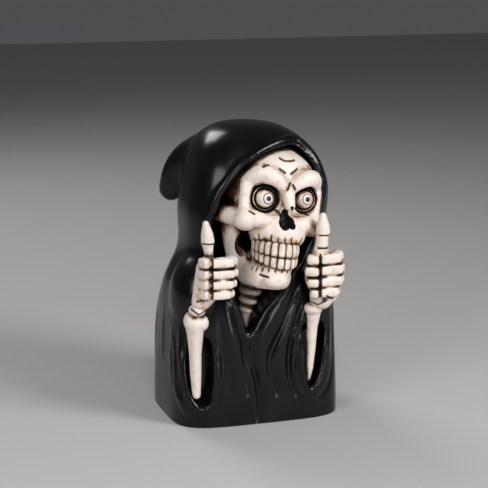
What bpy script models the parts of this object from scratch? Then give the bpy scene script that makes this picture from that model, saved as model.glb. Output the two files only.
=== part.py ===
# Grim reaper figurine: one solid resin casting, 120 mm tall, painted. A hooded robe stands on a flat underside; a
# grinning skull with round eyeballs looks out of the hood, and two bony fists with raised thumbs rise from the sleeves.
# The shapes are built in millimetres and scaled to metres at the end. +Z is up and the skull looks along -Y.
import math

import bmesh
import bpy
import numpy as np
from mathutils import Euler, Matrix, Vector

# driving dimensions, mm
HEIGHT = 120.0  # of the hood's crown over the underside
HALF_WIDTH = 35.5  # of the robe at its foot
HALF_DEPTH = 28.0
CORNER = 4.5  # exponent of the rounded-box plan at the foot
RIM_Y = -24.0  # plane of the hood's rim
LAPEL_LOW = (-5.7, 33.1)  # x, z where the two lapels meet
SKULL_AT = (6.8, -9.0, 88.3)  # centre of the skull, at the level of the eyes
SKULL_TURN = (-9.9, 9.2, 4.1)  # degrees of nod, tilt and turn
EYE_X = 8.7
ORBIT_R = 6.1
EYEBALL_R = 4.7
GUM_Z = -17.5  # skull's own frame
BITE_Z = -22.3
TOOTH_FOOT_Z = -27.0
CHIN_Z = -36.0
ARCH_X = 9.3  # half-width of the dental arch
ARCH_Y = 12.5
TOOTH_PITCH = 2.9
JAW_SKEW = -1.2  # the chin sits this far to the skull's right
NECK_R = 5.0
FINGER_R = 1.95
THUMB_R = 2.5
FOLD_R = 2.3
SLEEVE_LIP_R = 1.5
RIM_R = 1.7
OPENING_MID = (3.0, 84.0)  # x, z towards which the hood's hollow narrows
# middle line of the hood's flopped point
HOOD_POINT = ((-3.0, 5.0, 103.0), (-11.0, 13.0, 102.6), (-17.6, 21.0, 98.0), (-21.4, 27.4, 89.6))
VOXEL = 0.62
TRIANGLES = 9400
MM = 0.001

# robe and hood sections: height, centre x, centre y, half-width, half-depth, exponent
SECTIONS = (
    (-3.0, 0.0, 0.0, HALF_WIDTH, HALF_DEPTH, CORNER),
    (10.0, 0.0, 0.0, HALF_WIDTH, HALF_DEPTH, CORNER),
    (33.0, 0.2, 0.0, HALF_WIDTH - 0.7, HALF_DEPTH - 0.5, 4.1),
    (45.0, 0.6, 0.0, HALF_WIDTH - 1.0, HALF_DEPTH - 0.8, 3.7),
    (54.0, 0.8, 0.1, HALF_WIDTH - 2.3, HALF_DEPTH - 1.4, 3.2),
    (60.0, 1.0, 0.3, HALF_WIDTH - 4.2, HALF_DEPTH - 2.0, 2.8),
    (67.0, 1.6, 0.6, HALF_WIDTH - 6.4, HALF_DEPTH - 2.9, 2.5),
    (74.0, 2.2, 0.8, HALF_WIDTH - 6.6, HALF_DEPTH - 3.2, 2.4),
    (84.0, 2.7, 1.0, HALF_WIDTH - 5.6, HALF_DEPTH - 2.8, 2.35),
    (94.0, 3.6, 1.2, HALF_WIDTH - 6.1, HALF_DEPTH - 3.0, 2.3),
    (103.0, 3.1, 1.8, HALF_WIDTH - 8.4, HALF_DEPTH - 4.4, 2.3),
    (108.5, 2.6, 2.4, HALF_WIDTH - 11.0, HALF_DEPTH - 6.4, 2.25),
    (HEIGHT - 7.0, 1.8, 3.0, HALF_WIDTH - 14.6, HALF_DEPTH - 9.4, 2.2),
    (HEIGHT - 3.8, 1.4, 3.6, HALF_WIDTH - 18.4, HALF_DEPTH - 13.0, 2.1),
    (HEIGHT - 1.4, 0.6, 4.0, HALF_WIDTH - 24.0, HALF_DEPTH - 18.0, 2.0),
    (HEIGHT - 0.3, -0.6, 4.2, HALF_WIDTH - 31.0, HALF_DEPTH - 24.0, 2.0),
)
# inner edge of the hood and of the two lapels, x and z, from the foot of the opening up its left side and round
OPENING = (
    LAPEL_LOW, (-11.7, 38.6), (-16.7, 45.2), (-19.8, 53.0), (-20.3, 61.0), (-19.7, 70.0), (-20.0, 77.6),
    (-20.1, 83.6), (-18.9, 87.2), (-16.6, 93.4), (-13.2, 98.7), (-8.7, 103.7), (-2.4, 108.1), (3.0, 111.0),
    (9.0, 113.2), (14.2, 113.6), (19.5, 108.3), (22.8, 102.1), (24.4, 97.0), (24.2, 91.0), (23.0, 83.0),
    (20.6, 74.0), (16.4, 66.4), (11.4, 60.2), (6.6, 54.4), (0.8, 48.3), (-1.8, 44.4), (-4.1, 40.4),
)
# raised folds of the robe's front, x and z down each one
FOLDS = (
    ((14.6, 60.0), (9.2, 53.6), (3.6, 47.0), (-0.6, 40.6), (-2.8, 33.0), (-3.2, 26.0)),
    ((13.4, 51.0), (9.0, 45.0), (4.2, 38.0), (0.6, 31.0), (-0.8, 25.0), (-1.0, 17.0), (0.4, 9.0)),
    ((14.6, 44.0), (10.8, 38.6), (8.0, 33.0), (6.6, 27.0), (6.2, 21.0), (7.4, 14.5)),
    ((15.6, 37.6), (13.4, 32.0), (12.2, 26.0), (11.9, 20.0), (12.6, 14.0), (15.0, 9.5)),
    ((-19.6, 50.0), (-16.0, 42.0), (-12.6, 35.0), (-10.0, 27.0), (-9.0, 18.0)),
    ((-14.6, 45.0), (-11.0, 38.4), (-8.2, 32.4), (-6.8, 26.0), (-6.4, 19.0), (-6.8, 11.0)),
)
# each arm: sleeve mouth as x, z round its lip, then the bones
LEFT_LIP = (
    (-33.4, 41.0), (-34.2, 33.0), (-34.0, 24.0), (-32.8, 15.0), (-30.4, 9.2), (-27.2, 7.4), (-24.2, 9.6),
    (-22.4, 16.0), (-22.2, 24.0), (-22.8, 31.0), (-24.6, 38.6),
)
RIGHT_LIP = (
    (15.8, 41.0), (15.2, 34.0), (15.0, 26.0), (15.8, 18.0), (17.6, 12.6), (19.8, 11.4), (22.6, 13.2),
    (25.4, 19.0), (27.0, 27.0), (27.8, 35.0), (27.6, 42.0),
)


def superellipse(a, b, exponent, count):
    points = []
    for i in range(count):
        t = 2 * math.pi * i / count
        c = math.cos(t)
        s = math.sin(t)
        points.append(
            (a * math.copysign(abs(c) ** (2 / exponent), c), b * math.copysign(abs(s) ** (2 / exponent), s))
        )
    return points


def section_at(z):
    """Centre, half-sizes and exponent of the robe at this height, by straight runs between the sections."""
    heights = [row[0] for row in SECTIONS]
    return [float(np.interp(z, heights, [row[k] for row in SECTIONS])) for k in range(1, 6)]


def front_y(x, z):
    """y of the robe's front surface there."""
    cx, cy, a, b, exponent = section_at(z)
    share = min(abs((x - cx) / a), 0.985)
    return cy - b * (1 - share**exponent) ** (1 / exponent)


def loft(bm, rings):
    """A closed solid through rings of equal count, capped at both ends."""
    made = [[bm.verts.new(point) for point in ring] for ring in rings]
    for low, high in zip(made, made[1:]):
        for i in range(len(low)):
            j = (i + 1) % len(low)
            bm.faces.new((low[i], low[j], high[j], high[i]))
    bm.faces.new(made[0][::-1])
    bm.faces.new(made[-1])


def tube(bm, points, radii, sides=12, flat=1.0, flat_axis=(0, 1, 0)):
    """A round-ended tube through the points. flat squeezes it along flat_axis."""
    points = [Vector(point) for point in points]
    if isinstance(radii, (int, float)):
        radii = [radii] * len(points)
    squeeze = Vector(flat_axis).normalized()
    rings = []
    count = len(points)
    for i, point in enumerate(points):
        along = (points[min(i + 1, count - 1)] - points[max(i - 1, 0)]).normalized()
        if i == 0:
            first = along.orthogonal()
        first = (first - along * first.dot(along)).normalized()
        second = along.cross(first)
        spots = [(0.0, 1.0)]
        if i == 0:
            spots = [(-0.92, 0.38), (-0.7, 0.71), (-0.38, 0.92), (0.0, 1.0)]
        if i == count - 1:
            spots = [(0.0, 1.0), (0.38, 0.92), (0.7, 0.71), (0.92, 0.38)]
        for ahead, wide in spots:
            ring = []
            for k in range(sides):
                t = 2 * math.pi * k / sides
                out = (first * math.cos(t) + second * math.sin(t)) * radii[i] * wide
                out -= squeeze * out.dot(squeeze) * (1 - flat)
                ring.append(point + along * ahead * radii[i] + out)
            rings.append(ring)
    loft(bm, rings)


def smooth_line(points, steps=4):
    """Points of a curve that runs through the given ones."""
    points = [Vector(point) for point in points]
    found = []
    for i in range(len(points) - 1):
        a = points[max(i - 1, 0)]
        b = points[i]
        c = points[i + 1]
        d = points[min(i + 2, len(points) - 1)]
        for k in range(steps):
            t = k / steps
            found.append(
                0.5 * (2 * b + (c - a) * t + (2 * a - 5 * b + 4 * c - d) * t * t + (3 * b - a - 3 * c + d) * t**3)
            )
    return found + [points[-1]]


def outset(points, out):
    """The smooth line through x, z points, moved away from the middle of the opening."""
    line = smooth_line([(x, 0.0, z) for x, z in points], 3)
    moved = []
    for i, p in enumerate(line):
        along = line[min(i + 1, len(line) - 1)] - line[max(i - 1, 0)]
        side = Vector((along.z, 0.0, -along.x)).normalized()
        if side.dot(p - Vector((3.0, 0.0, 76.0))) < 0:
            side = -side
        moved.append((p.x + side.x * out, p.z + side.z * out))
    return moved


def ball(bm, centre, radii, turn=(0, 0, 0), fine=3):
    """An ellipsoid, turned by degrees about x, y and z."""
    if isinstance(radii, (int, float)):
        radii = (radii, radii, radii)
    matrix = (
        Matrix.Translation(centre)
        @ Euler([math.radians(angle) for angle in turn]).to_matrix().to_4x4()
        @ Matrix.Diagonal((radii[0], radii[1], radii[2], 1.0))
    )
    bmesh.ops.create_icosphere(bm, subdivisions=fine, radius=1.0, matrix=matrix)


def mirrored(bm, shape, *rows):
    """The shape on both sides of x = 0."""
    for side in (1, -1):
        shape(bm, side, *rows)


def object_of(bm, name, collection):
    bmesh.ops.recalc_face_normals(bm, faces=bm.faces[:])
    mesh = bpy.data.meshes.new(name)
    bm.to_mesh(mesh)
    bm.free()
    obj = bpy.data.objects.new(name, mesh)
    collection.objects.link(obj)
    return obj


def evaluated(obj):
    """Replaces the object's mesh by what its modifiers make of it."""
    graph = bpy.context.evaluated_depsgraph_get()
    mesh = bpy.data.meshes.new_from_object(obj.evaluated_get(graph))
    obj.modifiers.clear()
    obj.data = mesh


def remesh(obj, voxel):
    modifier = obj.modifiers.new("Remesh", "REMESH")
    modifier.mode = "VOXEL"
    modifier.voxel_size = voxel
    evaluated(obj)


def cut(obj, cutter):
    modifier = obj.modifiers.new("Cut", "BOOLEAN")
    modifier.operation = "DIFFERENCE"
    modifier.solver = "EXACT"
    modifier.object = cutter
    evaluated(obj)


def smooth(obj, times, factor=0.5):
    bm = bmesh.new()
    bm.from_mesh(obj.data)
    for _ in range(times):
        bmesh.ops.smooth_vert(bm, verts=bm.verts[:], factor=factor, use_axis_x=True, use_axis_y=True, use_axis_z=True)
    bm.to_mesh(obj.data)
    bm.free()


def join(target, others):
    """Adds the others' meshes to the target's."""
    bm = bmesh.new()
    bm.from_mesh(target.data)
    for other in others:
        bm.from_mesh(other.data)
    bm.to_mesh(target.data)
    bm.free()
    for other in others:
        bpy.data.objects.remove(other, do_unlink=True)


# robe and hood
def robe(collection):
    bm = bmesh.new()
    rings = []
    for z, cx, cy, a, b, exponent in SECTIONS:
        rings.append([(cx + x, cy + y, z) for x, y in superellipse(a, b, exponent, 72)])
    loft(bm, rings)
    return object_of(bm, "robe", collection)


def hood_opening(collection):
    """The hollow behind the hood's rim and the lapels: it narrows as it goes in."""
    bm = bmesh.new()
    edge = smooth_line([(x, 0.0, z) for x, z in OPENING + (OPENING[0],)], 3)[:-1]
    mid_x, mid_z = OPENING_MID
    rings = []
    for y, share in ((-48.0, 1.02), (RIM_Y, 1.0), (-17.0, 0.98), (-9.0, 0.9), (-1.0, 0.74), (5.0, 0.5)):
        rings.append([(mid_x + (p.x - mid_x) * share, y, mid_z + (p.z - mid_z) * share) for p in edge])
    loft(bm, rings)
    return object_of(bm, "hood_opening", collection)


def sleeve_opening(collection, lip, name, depth):
    bm = bmesh.new()
    edge = smooth_line([(x, 0.0, z) for x, z in lip + (lip[0],)], 2)[:-1]
    mid_x = sum(p.x for p in edge) / len(edge)
    mid_z = sum(p.z for p in edge) / len(edge)
    rings = []
    for y, share in ((-40.0, 0.92), (-27.0, 0.92), (-24.0, 0.86), (depth, 0.66)):
        rings.append([(mid_x + (p.x - mid_x) * share, y, mid_z + (p.z - mid_z) * share) for p in edge])
    loft(bm, rings)
    return object_of(bm, name, collection)


def drapery(collection):
    """Rim, lapels, folds and sleeve lips, as rounded ridges half sunk in the cloth."""
    bm = bmesh.new()
    rim = outset(OPENING[3:24], RIM_R * 0.9)
    tube(bm, [(x, max(front_y(x, z), RIM_Y) + 0.6, z) for x, z in rim], RIM_R)
    for lapel in (OPENING[:6], OPENING[21:] + OPENING[:1]):
        tube(bm, [(x, front_y(x, z) + 1.0, z) for x, z in outset(lapel, RIM_R * 0.9)], RIM_R)
    for fold in FOLDS:
        line = smooth_line([(x, 0.0, z) for x, z in fold], 3)
        count = len(line) - 1
        radii = [FOLD_R * (0.62 + 0.5 * math.sin(math.pi * i / count)) for i in range(count + 1)]
        tube(bm, [(p.x, front_y(p.x, p.z) + 1.0, p.z) for p in line], radii)
    for lip in (LEFT_LIP, RIGHT_LIP):
        line = smooth_line([(x, 0.0, z) for x, z in lip], 3)
        tube(bm, [(p.x, front_y(p.x, p.z) + 0.7, p.z) for p in line], SLEEVE_LIP_R)
    # shoulders, drawn forward to the fists
    ball(bm, (-26.6, -13.4, 54.0), (8.4, 11.4, 13.0), (0, 8, 0))
    ball(bm, (25.4, -13.4, 54.0), (9.0, 11.4, 13.0), (0, -8, 0))
    # long folds down the sides and the back
    for x, y, low, high, r in (
        (-35.0, -13.0, 6, 50, 3.0), (-35.4, 2.0, 10, 56, 3.4), (-33.0, 17.0, 4, 60, 3.4), (35.4, -12.0, 4, 50, 3.0),
        (35.6, 3.0, 8, 56, 3.4), (33.0, 18.0, 5, 58, 3.2), (-20.0, 26.6, 4, 66, 3.4), (-4.0, 28.0, 8, 74, 3.0),
        (12.0, 27.8, 4, 70, 3.4), (24.0, 25.6, 6, 58, 2.8),
    ):
        line = []
        for i in range(9):
            z = low + (high - low) * i / 8
            cx, cy, a, b, exponent = section_at(z)
            angle = math.atan2(y / HALF_DEPTH, x / HALF_WIDTH) + 0.05 * math.sin(3.0 * i / 8 + x)
            reach = (abs(math.cos(angle)) ** exponent + abs(math.sin(angle)) ** exponent) ** (-1 / exponent)
            line.append((cx + (a * reach - r * 0.72) * math.cos(angle), cy + (b * reach - r * 0.72) * math.sin(angle), z))
        tube(bm, line, [r * (0.55 + 0.45 * math.sin(math.pi * i / 8)) for i in range(9)])
    # the hood's point, flopped over to the back
    tip = smooth_line(HOOD_POINT, 4)
    tube(bm, tip, [15.6 - 9.4 * i / (len(tip) - 1) for i in range(len(tip))], 18, 0.66, (0.6, 0.78, 0.15))
    return object_of(bm, "drapery", collection)


# skull, in its own frame: x across, -y forward, z up, origin between the eyes
def cheek(bm, side):
    ball(bm, (side * 13.8, -15.0, -8.6), (5.8, 4.8, 4.4), (0, side * 16, 0))
    tube(bm, [(side * 11.0, -17.2, -8.6), (side * 6.5, -18.4, -9.6), (side * 6.4, -17.8, -14.0)], [3.6, 3.6, 3.0])
    tube(bm, [(side * 15.0, -14.5, -8.0), (side * 18.8, -8.0, -7.2), (side * 19.8, 2.0, -6.4)], [3.4, 2.4, 2.6])
    tube(bm, [(side * 15.8, -16.2, 5.0), (side * 16.2, -15.8, -0.6), (side * 15.2, -16.0, -6.0)], [2.8, 2.3, 2.6])


def brow(bm, side):
    line = smooth_line(
        [(side * 2.2, -20.4, 4.8), (side * 6.0, -20.8, 7.8), (side * 11.0, -19.4, 8.8), (side * 15.8, -16.2, 4.8)], 3
    )
    tube(bm, line, [2.6, 2.9, 3.2, 3.5, 3.7, 3.8, 3.7, 3.4, 3.1, 2.7], 12)


def ramus(bm, side):
    low = JAW_SKEW
    line = [(side * 6.0 + low, -16.0, -31.0), (side * 10.2 + low, -7.0, -29.4), (side * 14.0, -1.0, -23.0), (side * 16.8, 2.0, -8.0)]
    tube(bm, line, [4.6, 4.6, 4.4, 3.6], 12, 0.72, (1, 0, 0))


def orbit(bm, side):
    ball(bm, (side * EYE_X, -18.8, -0.1), (ORBIT_R, 5.6, ORBIT_R), (0, side * 12, 0))


def arch_spot(angle, z, grow=0.0):
    return ((ARCH_X + grow) * math.sin(angle), -13.0 - (ARCH_Y + grow) * math.cos(angle), z)


def arch_angles():
    """Tooth centres round the arch at even pitch, left to right."""
    fine = [math.radians(a) for a in range(-92, 93)]
    run = [0.0]
    for a, b in zip(fine, fine[1:]):
        run.append(run[-1] + math.dist(arch_spot(a, 0), arch_spot(b, 0)))
    middle = run[len(run) // 2]
    places = [middle + TOOTH_PITCH * (k + 0.5) for k in range(-6, 6)]
    return [float(np.interp(place, run, fine)) for place in places]


def skull(collection):
    bm = bmesh.new()
    ball(bm, (0, 1.0, 9.0), (19.6, 21.0, 18.4))
    ball(bm, (0, -9.0, 10.0), (16.4, 12.6, 13.0))
    ball(bm, (0, -7.6, -1.0), (17.4, 12.2, 13.0))
    ball(bm, (0, -14.2, -13.0), (11.2, 10.8, 8.2))
    tube(bm, [(0, -18.6, 8.0), (0, -21.4, 3.0), (0, -23.8, -2.6)], [3.2, 2.7, 2.1])
    mirrored(bm, cheek)
    mirrored(bm, brow)
    mirrored(bm, ramus)
    rings = []
    for z, a, b, push, skew in (
        (-14.0, 9.8, 10.6, 0.0, 0.0), (-18.0, 8.5, 11.6, 0.0, 0.0), (BITE_Z, 8.4, 11.5, 0.0, 0.1),
        (-27.4, 8.3, 11.6, 0.0, 0.5), (-30.0, 8.4, 11.0, 0.0, 1.0), (-34.0, 7.4, 9.6, -0.6, 1.0), (CHIN_Z, 5.0, 6.6, -1.6, 1.0),
    ):
        rings.append([(x + skew * JAW_SKEW, -13.0 + y + push, z) for x, y in superellipse(a, b, 2.2, 32)])
    loft(bm, rings)
    ball(bm, (JAW_SKEW, -21.4, -32.2), (5.8, 3.6, 3.6))
    head = object_of(bm, "skull", collection)
    remesh(head, VOXEL)
    smooth(head, 4)
    bm = bmesh.new()
    mirrored(bm, orbit)
    for side in (1, -1):
        ball(bm, (side * 1.9, -24.0, -7.8), (2.1, 4.4, 3.4), (0, side * 14, 0))
        ball(bm, (side * 21.0, -9.5, 1.0), (4.6, 8.0, 6.4))
        ball(bm, (side * 14.6, -8.0, -17.4), (3.2, 6.0, 4.4))
    ball(bm, (0, -24.0, -4.6), (1.6, 4.0, 2.8))
    cutters = object_of(bm, "skull_cutters", collection)
    remesh(cutters, VOXEL)
    cut(head, cutters)
    bpy.data.objects.remove(cutters, do_unlink=True)
    bm = bmesh.new()
    for side in (1, -1):
        ball(bm, (side * EYE_X, -15.4, -0.1), EYEBALL_R)
    for angle in arch_angles():
        turn = (0, 0, math.degrees(angle))
        ball(bm, arch_spot(angle, (GUM_Z + BITE_Z) / 2, -0.6), (1.56, 1.5, (GUM_Z - BITE_Z) / 2 + 0.3), turn, 2)
        ball(bm, arch_spot(angle, (BITE_Z + TOOTH_FOOT_Z) / 2, -0.9), (1.5, 1.5, (BITE_Z - TOOTH_FOOT_Z) / 2 + 0.3), turn, 2)
    join(head, [object_of(bm, "eyes_and_teeth", collection)])
    nod, tilt, turn = (math.radians(angle) for angle in SKULL_TURN)
    frame = Matrix.Translation(SKULL_AT) @ Matrix.Rotation(turn, 4, "Z") @ Matrix.Rotation(nod, 4, "X") @ Matrix.Rotation(tilt, 4, "Y")
    head.data.transform(frame)
    return head


# neck, arms and fists
def neck(bm):
    tube(bm, [(0.6, -7.0, 62.0), (-0.6, -9.0, 54.0), (-1.2, -10.0, 45.0)], [NECK_R + 1.0, NECK_R, NECK_R - 0.6])
    for x, z in ((-0.6, 56.0), (-0.8, 51.0), (-1.2, 46.4)):
        ball(bm, (x, -9.6, z), (NECK_R + 0.6, NECK_R + 0.7, 2.1), (0, 6, 0))
    tube(bm, [(-1.8, -12.0, 44.0), (-2.2, -14.5, 39.0), (-2.8, -16.0, 34.0)], [3.0, 2.2, 1.2])
    tube(bm, [(-1.0, -4.0, 52.0), (-2.0, -6.0, 42.0), (-3.0, -9.0, 34.0)], [6.0, 5.0, 3.0])


def left_arm(bm):
    fist_x = (-25.6, -13.2)
    rows = (69.4, 65.0, 60.8, 56.8)
    for k, z in enumerate(rows):
        r = FINGER_R - 0.08 * k
        end = fist_x[1] - (0.0, -0.3, 0.4, 1.4)[k]
        tube(bm, [(fist_x[0], -34.6, z), (end - 1.4, -34.8, z - 0.1)], r, 12)
        tube(bm, [(end - 1.2, -34.4, z), (end - 0.6, -31.0, z), (end - 3.0, -28.8, z)], r * 0.95, 12)
        tube(bm, [(fist_x[0] - 2.3, -32.8, z + 0.1), (fist_x[0] - 1.6, -33.6, z)], r + 0.1, 12)
    ball(bm, (-20.6, -30.6, 63.0), (7.6, 4.0, 8.6))
    tube(bm, [(-27.2, -30.6, 68.0), (-27.6, -30.2, 60.0), (-28.0, -29.0, 52.6)], [2.9, 3.4, 3.0], 12)
    tube(bm, [(-23.6, -32.4, 56.6), (-26.0, -30.0, 52.6)], [2.6, 2.4])
    tube(bm, [(-24.6, -32.0, 69.0), (-24.9, -32.2, 73.0), (-25.3, -32.6, 76.6)], [1.9, 1.7, 2.3])
    tube(bm, [(-25.4, -32.8, 77.6), (-25.8, -33.2, 81.0), (-26.4, -33.6, 85.0)], [THUMB_R, 2.3, 1.3])
    ball(bm, (-28.6, -28.4, 49.6), (3.4, 3.4, 2.6))
    ball(bm, (-31.6, -26.8, 45.4), (3.2, 3.2, 3.4))
    ball(bm, (-26.6, -27.2, 44.4), (3.4, 3.2, 3.0))
    line = [(-29.0, -26.6, 44.0), (-28.8, -26.0, 39.0), (-28.6, -25.4, 31.0), (-28.3, -24.8, 22.0), (-28.0, -24.4, 13.6)]
    tube(bm, line, [4.2, 3.3, 2.5, 2.3, 1.8])


def right_arm(bm):
    rows = (68.0, 63.4, 58.8, 54.4)
    for k, z in enumerate(rows):
        r = FINGER_R - 0.06 * k
        knuckle = (29.4, 30.0, 29.8, 28.2)[k]
        inner = (15.6, 14.4, 15.8, 17.4)[k]
        tube(bm, [(21.0, -35.4, z), (knuckle, -33.6, z + 0.4)], [r, r + 0.25])
        tube(bm, [(knuckle + 0.2, -33.2, z + 0.4), (knuckle - 0.8, -30.0, z)], r + 0.2)
        tube(bm, [(20.0, -35.2, z), (inner + 1.0, -32.6, z - 0.3)], r * 0.98)
        tube(bm, [(inner + 0.8, -32.2, z - 0.3), (inner + 3.0, -29.0, z)], r * 0.92)
    ball(bm, (22.6, -30.2, 61.0), (7.4, 4.0, 9.4))
    tube(bm, [(26.4, -31.0, 53.0), (23.6, -29.8, 49.4)], [3.4, 3.2])
    tube(bm, [(20.6, -31.6, 53.6), (21.4, -29.6, 49.8)], [3.2, 3.0])
    tube(bm, [(22.2, -32.6, 70.0), (22.4, -32.6, 73.4), (22.7, -32.8, 76.6)], [3.3, 2.5, 2.2])
    tube(bm, [(22.9, -33.0, 78.2), (22.7, -33.2, 81.4), (22.4, -33.4, 85.2)], [THUMB_R, 2.3, 1.4])
    ball(bm, (20.4, -27.8, 46.6), (4.0, 3.4, 3.0))
    line = [(20.6, -27.0, 45.0), (20.4, -26.2, 38.0), (20.4, -25.4, 29.0), (19.8, -24.8, 21.0), (19.0, -24.4, 15.4)]
    tube(bm, line, [3.2, 2.3, 1.9, 1.8, 1.4])


def bones(collection):
    bm = bmesh.new()
    neck(bm)
    left_arm(bm)
    right_arm(bm)
    return object_of(bm, "bones", collection)


def flat_foot(bm):
    """Cuts the casting level at z = 0 and closes it."""
    bmesh.ops.bisect_plane(
        bm, geom=bm.verts[:] + bm.edges[:] + bm.faces[:], dist=1e-5, plane_co=(0, 0, 0), plane_no=(0, 0, -1), clear_outer=True
    )
    rim = [edge for edge in bm.edges if edge.is_boundary]
    made = bmesh.ops.contextual_create(bm, geom=rim)["faces"]
    bmesh.ops.triangulate(bm, faces=bm.faces[:])
    return made


def figurine(collection):
    body = robe(collection)
    for cutter in (
        hood_opening(collection),
        sleeve_opening(collection, LEFT_LIP, "left_sleeve", -19.5),
        sleeve_opening(collection, RIGHT_LIP, "right_sleeve", -19.5),
    ):
        cut(body, cutter)
        bpy.data.objects.remove(cutter, do_unlink=True)
    join(body, [drapery(collection), skull(collection), bones(collection)])
    remesh(body, VOXEL)
    smooth(body, 2, 0.4)
    decimate = body.modifiers.new("Decimate", "DECIMATE")
    decimate.ratio = TRIANGLES / (2.0 * len(body.data.polygons))
    evaluated(body)
    bm = bmesh.new()
    bm.from_mesh(body.data)
    flat_foot(bm)
    bmesh.ops.scale(bm, vec=(MM, MM, MM), verts=bm.verts[:])
    bmesh.ops.recalc_face_normals(bm, faces=bm.faces[:])
    bm.to_mesh(body.data)
    bm.free()
    body.name = "grim_reaper_figurine"
    body.data.name = "grim_reaper_figurine"
    return body


def painted_resin():
    material = bpy.data.materials.new("painted_resin")
    material.use_nodes = True
    shader = material.node_tree.nodes["Principled BSDF"]
    shader.inputs["Base Color"].default_value = (0.012, 0.011, 0.013, 1.0)
    shader.inputs["Roughness"].default_value = 0.28
    return material


for old in list(bpy.data.objects):
    bpy.data.objects.remove(old, do_unlink=True)
whole = bpy.data.collections.new("grim_reaper")
bpy.context.scene.collection.children.link(whole)
reaper = figurine(whole)
reaper.data.materials.clear()
reaper.data.materials.append(painted_resin())
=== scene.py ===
import math

import bmesh
import bpy
import numpy as np
from mathutils import Euler, Matrix, Vector
from mathutils.bvhtree import BVHTree


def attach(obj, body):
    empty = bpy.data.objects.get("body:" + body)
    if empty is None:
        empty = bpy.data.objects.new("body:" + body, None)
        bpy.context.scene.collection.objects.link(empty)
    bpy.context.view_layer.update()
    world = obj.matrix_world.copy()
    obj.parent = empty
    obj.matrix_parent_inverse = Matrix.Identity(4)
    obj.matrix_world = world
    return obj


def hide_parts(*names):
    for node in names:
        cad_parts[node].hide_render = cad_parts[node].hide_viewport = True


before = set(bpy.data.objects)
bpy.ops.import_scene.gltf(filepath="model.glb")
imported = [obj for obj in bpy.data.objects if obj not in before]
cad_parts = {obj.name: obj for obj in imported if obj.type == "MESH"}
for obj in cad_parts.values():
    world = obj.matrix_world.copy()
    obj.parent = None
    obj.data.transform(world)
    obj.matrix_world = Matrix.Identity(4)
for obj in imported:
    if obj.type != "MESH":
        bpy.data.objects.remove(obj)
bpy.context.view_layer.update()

scene = bpy.context.scene

# Camera: a long lens a little to the figure's right and above it, as the figurine is seen on
# a shelf a little below the eye.
camera_data = bpy.data.cameras.new("camera")
camera_data.lens = 110
camera_data.sensor_width = 36
camera = bpy.data.objects.new("camera", camera_data)
scene.collection.objects.link(camera)
aim = Vector((0.0, 0.0, 0.0686))
camera_distance = 0.6165
side_angle = math.radians(18)
height_angle = math.radians(12)
look = Vector((
    math.sin(side_angle) * math.cos(height_angle),
    math.cos(side_angle) * math.cos(height_angle),
    -math.sin(height_angle),
))
camera.location = aim - look * camera_distance
camera.rotation_euler = look.to_track_quat("-Z", "Y").to_euler()
scene.camera = camera

# Robe and hood: the hollow-fronted body of the casting. Its drapery is carved in the master, cast in resin
# and sprayed gloss black. Lengths are millimetres until the wash and painted shade are laid on, when all is
# scaled to metres.
half_width = 35.5
half_depth = 28.0
rim_y = -24.0  # plane of the hood's rim
opening_middle = (3.0, 84.0)  # x, z towards which the hood's hollow narrows
lapel_middle_z = 76.0
rim_radius = 1.7
robe_voxel = 0.62
to_metres = 0.001
# height, centre x and y, half-width, half-depth, roundness of the back, half-depth and roundness of the front
robe_sections = (
    (-3.0, 0.0, 0.0, half_width, half_depth, 4.5, half_depth, 4.5),
    (10.0, 0.0, 0.0, half_width, half_depth, 4.5, half_depth, 4.5),
    (33.0, 0.2, 0.0, half_width - 0.7, half_depth - 0.5, 4.1, half_depth - 0.5, 4.1),
    (45.0, 0.6, 0.0, half_width - 1.0, half_depth - 0.8, 3.7, half_depth - 0.8, 3.7),
    (54.0, 0.8, 0.1, half_width - 2.3, half_depth - 1.4, 3.2, half_depth - 1.4, 3.2),
    (60.0, 1.0, 0.3, half_width - 4.2, half_depth - 2.0, 2.8, half_depth - 1.8, 2.9),
    (67.0, 1.6, 0.6, half_width - 6.4, half_depth - 2.9, 2.5, half_depth - 2.4, 2.8),
    (74.0, 2.2, 0.8, half_width - 6.6, half_depth - 3.2, 2.4, half_depth - 2.4, 3.0),
    (84.0, 2.7, 1.0, half_width - 5.6, half_depth - 2.8, 2.35, half_depth - 2.2, 3.3),
    (94.0, 3.6, 1.2, half_width - 6.1, half_depth - 3.0, 2.3, half_depth - 2.4, 3.4),
    (103.0, 3.3, 1.8, half_width - 8.2, half_depth - 4.4, 2.3, half_depth - 3.0, 3.2),
    (108.5, 2.8, 2.4, half_width - 10.8, half_depth - 6.4, 2.25, half_depth - 4.4, 3.0),
    (113.0, 2.0, 3.0, half_width - 14.4, half_depth - 9.4, 2.2, half_depth - 6.6, 2.8),
    (116.2, 1.4, 3.6, half_width - 18.4, half_depth - 13.0, 2.1, half_depth - 9.8, 2.5),
    (118.6, 0.6, 4.0, half_width - 24.0, half_depth - 18.0, 2.0, half_depth - 15.4, 2.2),
    (119.7, -0.6, 4.2, half_width - 31.0, half_depth - 24.0, 2.0, half_depth - 23.0, 2.0),
)
hood_opening = (
    (-5.7, 33.1), (-7.6, 39.0), (-9.4, 45.4), (-12.0, 52.6), (-16.4, 60.6), (-19.2, 69.0), (-20.0, 77.6),
    (-20.0, 83.6), (-18.6, 87.2), (-16.2, 93.1), (-12.7, 98.3), (-8.2, 103.4), (-1.5, 107.5), (4.4, 110.1),
    (11.0, 111.8), (16.8, 111.8), (21.3, 107.0), (24.1, 101.2), (25.4, 96.3), (24.9, 90.5), (23.6, 82.6),
    (21.2, 73.6), (16.6, 66.3), (11.4, 60.2), (6.6, 54.4), (0.8, 48.3), (-1.8, 44.4), (-4.1, 40.4),
)
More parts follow.
